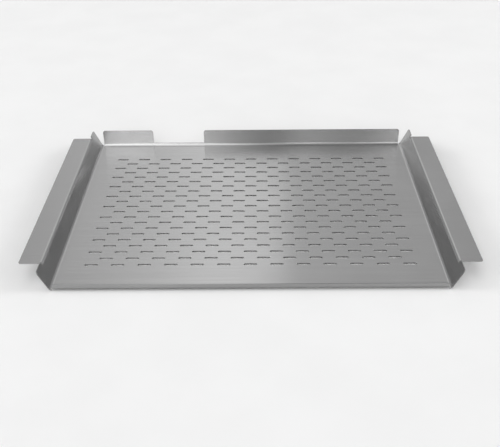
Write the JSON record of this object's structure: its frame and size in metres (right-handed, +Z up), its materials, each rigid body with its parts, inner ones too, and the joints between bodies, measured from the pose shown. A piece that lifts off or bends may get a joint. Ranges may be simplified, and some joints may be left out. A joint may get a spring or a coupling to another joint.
{
  "type": "baguette tray",
  "caption": "Shallow perforated steel baking tray with leaning side walls, hanger flanges, a low front lip and a split rear stop.",
  "frame": {"origin": "middle of the underside, level with the surface the tray stands on", "axes": "+X to the right along the tray's width, +Y to the rear stop, +Z up"},
  "size_m": [0.6, 0.4, 0.029],
  "materials": {
    "brushed_stainless": "brushed front to back, satin, deburred edges"
  },
  "bodies": {
    "root": {"floor_panel": "brushed_stainless", "front_bend": "brushed_stainless", "front_lip": "brushed_stainless", "rear_bend": "brushed_stainless", "rear_stop_short": "brushed_stainless", "rear_stop_long": "brushed_stainless", "left_floor_bend": "brushed_stainless", "left_side_wall": "brushed_stainless", "left_hanger_bend": "brushed_stainless", "left_hanger_flange": "brushed_stainless", "right_floor_bend": "brushed_stainless", "right_side_wall": "brushed_stainless", "right_hanger_bend": "brushed_stainless", "right_hanger_flange": "brushed_stainless"}
  },
  "joints": []
}
